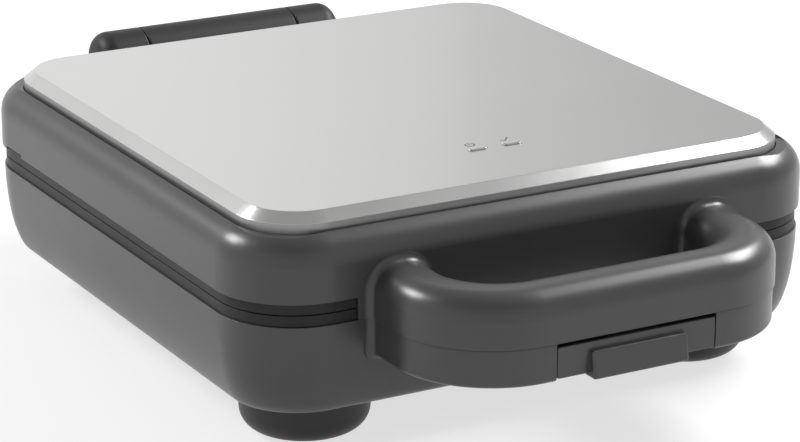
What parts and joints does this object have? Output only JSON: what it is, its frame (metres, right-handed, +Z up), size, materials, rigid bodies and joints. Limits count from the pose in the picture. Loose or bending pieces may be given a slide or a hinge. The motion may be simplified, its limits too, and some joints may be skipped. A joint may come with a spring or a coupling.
{
  "type": "sandwich maker",
  "caption": "Countertop sandwich maker: hinged lid with a silver top cover, looped front handle with a latch, divided non-stick plates, and a base on tall feet.",
  "frame": {"origin": "on the worktop, under the middle of the whole object's box", "axes": "-Y to the handle, +Y to the hinge, +X to the right of someone facing the handle, +Z up"},
  "size_m": [0.28, 0.4068, 0.1062],
  "materials": {
    "charcoal_plastic": "satin moulded plastic, fine grain",
    "black_plastic": "satin heat-proof plastic",
    "foot_plastic": "satin moulded plastic",
    "tread_rubber": "matte rubber",
    "silver_cover": "satin silver sheet",
    "non_stick": "dark non-stick coat on cast aluminium",
    "bright_sheet": "bright rolled sheet",
    "steel": "plated steel",
    "terminal_plastic": "pale moulded plastic",
    "lens_plastic": "smoked clear plastic",
    "lamp_glass": "clear glass"
  },
  "bodies": {
    "base": {"base_housing": "charcoal_plastic", "bottom_cover": "black_plastic", "bottom_cover_screws": "steel", "cord_gland": "tread_rubber", "foot_front_left": "foot_plastic", "foot_front_right": "foot_plastic", "foot_rear_left": "foot_plastic", "foot_rear_right": "foot_plastic", "foot_tread_front_left": "tread_rubber", "foot_tread_front_right": "tread_rubber", "foot_tread_rear_left": "tread_rubber", "foot_tread_rear_right": "tread_rubber", "hinge_pin": "steel", "hinge_post_left": "black_plastic", "hinge_post_right": "black_plastic", "hinge_post_screws": "steel", "latch_pin": "steel", "latch_spring": "steel", "lower_cooking_plate": "non_stick", "lower_handle": "charcoal_plastic", "lower_handle_cover": "black_plastic", "lower_handle_screws": "steel", "lower_heater": "steel", "lower_heater_clamps": "bright_sheet", "lower_plate_frame": "black_plastic", "lower_reflector": "bright_sheet", "terminal_block": "terminal_plastic", "thermal_fuse": "bright_sheet", "thermostat": "steel"},
    "lid": {"lid_housing": "charcoal_plastic", "top_cover": "silver_cover", "upper_plate_frame": "black_plastic", "upper_cooking_plate": "non_stick", "upper_heater": "steel", "upper_heater_clamps": "bright_sheet", "upper_reflector": "bright_sheet", "upper_handle": "charcoal_plastic", "upper_handle_cover": "black_plastic", "latch_keeper": "steel", "power_light_lens": "lens_plastic", "ready_light_lens": "lens_plastic", "power_lamp": "lamp_glass", "ready_lamp": "lamp_glass", "lamp_holder": "black_plastic", "hinge_knuckle": "black_plastic", "upper_handle_screws": "steel", "hinge_knuckle_screws": "steel"},
    "latch": {"latch": "charcoal_plastic"}
  },
  "joints": [
    {"name": "lid_hinge", "type": "hinge", "parent": "base", "child": "lid", "pos_m": [0, 0.18898, 0.0854], "axis": [-1, 0, 0], "range_deg": [0, 100]},
    {"name": "latch_pivot", "type": "hinge", "parent": "base", "child": "latch", "pos_m": [0, -0.19073, 0.0539], "axis": [-1, 0, 0], "range_deg": [0, 10], "stiffness_Nm_per_rad": 0.05, "springref_deg": -11.46, "deforming": ["latch_spring"]}
  ]
}
